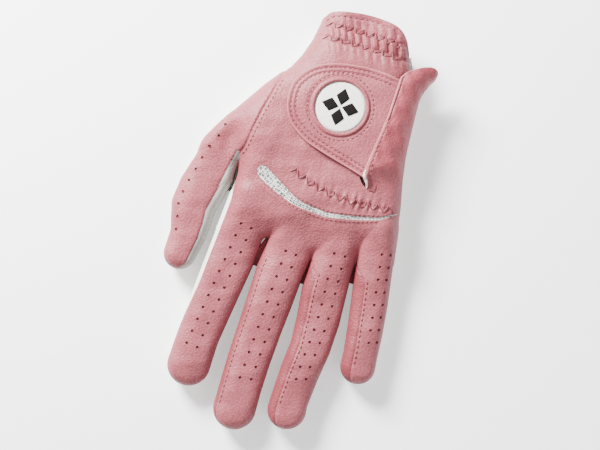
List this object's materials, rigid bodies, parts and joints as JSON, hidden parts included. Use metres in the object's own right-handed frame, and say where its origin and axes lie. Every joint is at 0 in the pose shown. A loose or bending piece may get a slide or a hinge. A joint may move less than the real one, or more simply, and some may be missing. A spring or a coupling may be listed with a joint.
{
  "type": "golf glove",
  "caption": "Women's left-hand leather golf glove with perforated fingers, stretch knuckle inset, elastic cuff and a hook-and-loop wrist tab with a round badge.",
  "frame": {"origin": "on the flat underside of the palm patch, below the middle of the palm, so the glove lies palm down on z = 0", "axes": "+Y from the fingers towards the wrist opening, +Z out of the back of the hand, thumb on the -X side"},
  "size_m": [0.104, 0.1876, 0.0269],
  "materials": {
    "back_leather": "soft pink sheep leather, fine grain, low sheen",
    "palm_leather": "white tacky palm leather, fine grain",
    "mesh": "silver-white stretch mesh",
    "elastic": "woven elastic tape",
    "hook_patch": "moulded hooks on a woven base",
    "loop_patch": "brushed loop pile",
    "lining": "thin backing cloth",
    "badge": "smooth off-white coated leather",
    "emblem": "black embroidery thread"
  },
  "bodies": {
    "hand": {"back_panel": "back_leather", "ulnar_panel": "back_leather", "thumb_base": "back_leather", "palm_panel": "palm_leather", "palm_patch": "palm_leather", "knuckle_sleeves_back": "back_leather", "knuckle_sleeves_palm": "palm_leather", "index_middle_fourchette": "back_leather", "middle_ring_fourchette": "back_leather", "ring_little_fourchette": "back_leather", "knuckle_mesh": "mesh", "knuckle_elastic": "elastic", "cuff_elastic": "elastic", "loop_patch": "loop_patch", "tab_root": "back_leather"},
    "tab": {"tab_leather": "back_leather", "tab_lining": "lining", "hook_patch": "hook_patch", "badge_ring": "back_leather", "badge_disc": "badge", "badge_emblem": "emblem"},
    "index": {"index_back": "back_leather", "index_palm": "palm_leather", "index_fourchette": "back_leather"},
    "middle": {"middle_back": "back_leather", "middle_palm": "palm_leather", "middle_fourchettes": "back_leather"},
    "ring": {"ring_back": "back_leather", "ring_palm": "palm_leather", "ring_fourchettes": "back_leather"},
    "little": {"little_back": "back_leather", "little_palm": "palm_leather", "little_fourchette": "back_leather"},
    "thumb": {"thumb_back": "back_leather", "thumb_palm": "palm_leather"}
  },
  "joints": [
    {"name": "tab_lift", "type": "hinge", "parent": "hand", "child": "tab", "pos_m": [0.0165, 0.024, 0.0256], "axis": [0, 1, 0], "range_deg": [0, 130]},
    {"name": "index_flex", "type": "hinge", "parent": "hand", "child": "index", "pos_m": [-0.0282, -0.042, 0.007], "axis": [0.9959, -0.0906, 0], "range_deg": [-10, 75]},
    {"name": "middle_flex", "type": "hinge", "parent": "hand", "child": "middle", "pos_m": [-0.007, -0.044, 0.007], "axis": [0.9994, -0.0349, 0], "range_deg": [-10, 75]},
    {"name": "ring_flex", "type": "hinge", "parent": "hand", "child": "ring", "pos_m": [0.0135, -0.043, 0.007], "axis": [0.9999, -0.0105, 0], "range_deg": [-10, 75]},
    {"name": "little_flex", "type": "hinge", "parent": "hand", "child": "little", "pos_m": [0.0336, -0.04, 0.007], "axis": [0.9954, 0.0958, 0], "range_deg": [-10, 75]},
    {"name": "thumb_flex", "type": "hinge", "parent": "hand", "child": "thumb", "pos_m": [-0.0473, -0.006, 0.007], "axis": [0.9977, -0.068, 0], "range_deg": [-10, 60]}
  ]
}
